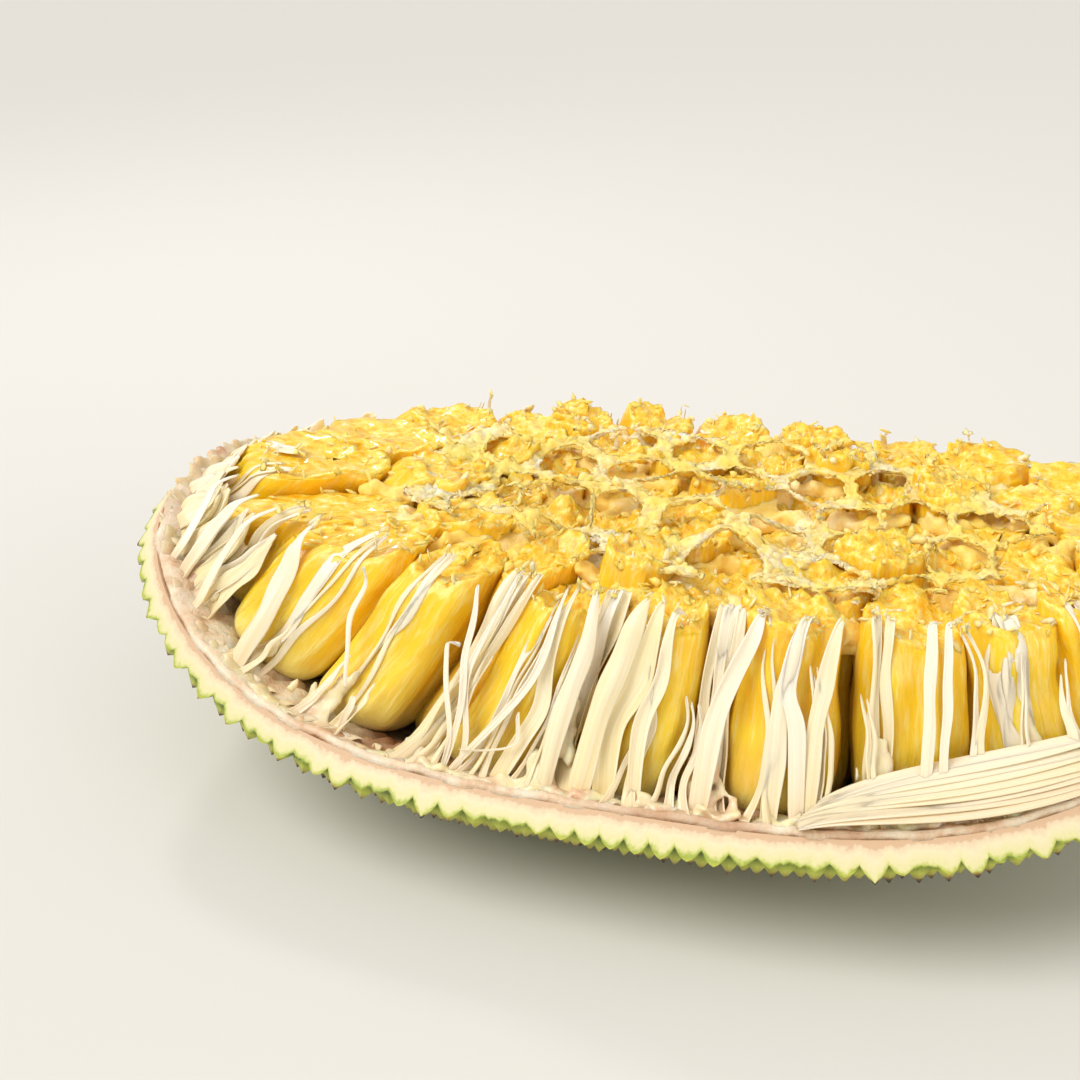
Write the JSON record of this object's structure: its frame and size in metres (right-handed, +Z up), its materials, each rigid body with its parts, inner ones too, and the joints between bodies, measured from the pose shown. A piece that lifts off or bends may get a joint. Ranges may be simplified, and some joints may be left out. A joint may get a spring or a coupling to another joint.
{
  "type": "opened jackfruit half",
  "caption": "Lengthwise half of a ripe jackfruit with the core cut away, opened out on its spiky rind so that the yellow bulbs and pale rags stand up.",
  "frame": {"origin": "on the surface that the fruit lies on, under the middle of its box", "axes": "+X along the fruit, away from the end that the picture shows; -Y towards the side that the picture shows; +Z up, from the rind to the cut tops of the bulbs"},
  "size_m": [0.3694, 0.2371, 0.1042],
  "materials": {
    "rind": "green spiky fruit skin over a pale cream cut edge, slightly waxy",
    "rag": "moist cream plant fibre, tan and pink where it lines the rind",
    "bulb": "wet golden yellow fruit flesh",
    "core": "moist granular tan core tissue"
  },
  "bodies": {
    "root": {"rind": "rind", "rag_bed": "rag", "bulb_01": "bulb", "bulb_02": "bulb", "bulb_03": "bulb", "bulb_04": "bulb", "bulb_05": "bulb", "bulb_06": "bulb", "bulb_07": "bulb", "bulb_08": "bulb", "bulb_09": "bulb", "bulb_10": "bulb", "bulb_11": "bulb", "bulb_12": "bulb", "bulb_13": "bulb", "bulb_14": "bulb", "bulb_15": "bulb", "bulb_16": "bulb", "bulb_17": "bulb", "bulb_18": "bulb", "bulb_19": "bulb", "bulb_20": "bulb", "bulb_21": "bulb", "bulb_22": "bulb", "bulb_23": "bulb", "bulb_24": "bulb", "bulb_25": "bulb", "bulb_26": "bulb", "bulb_27": "bulb", "bulb_28": "bulb", "bulb_29": "bulb", "bulb_30": "bulb", "bulb_31": "bulb", "bulb_32": "bulb", "bulb_33": "bulb", "bulb_34": "bulb", "bulb_35": "bulb", "bulb_36": "bulb", "bulb_37": "bulb", "bulb_38": "bulb", "bulb_39": "bulb", "bulb_40": "bulb", "bulb_41": "bulb", "bulb_42": "bulb", "bulb_43": "bulb", "bulb_44": "bulb", "bulb_45": "bulb", "bulb_46": "bulb", "bulb_47": "bulb", "bulb_48": "bulb", "bulb_49": "bulb", "bulb_50": "bulb", "bulb_51": "bulb", "bulb_52": "bulb", "bulb_53": "bulb", "bulb_54": "bulb", "core_lace": "core"}
  },
  "joints": []
}
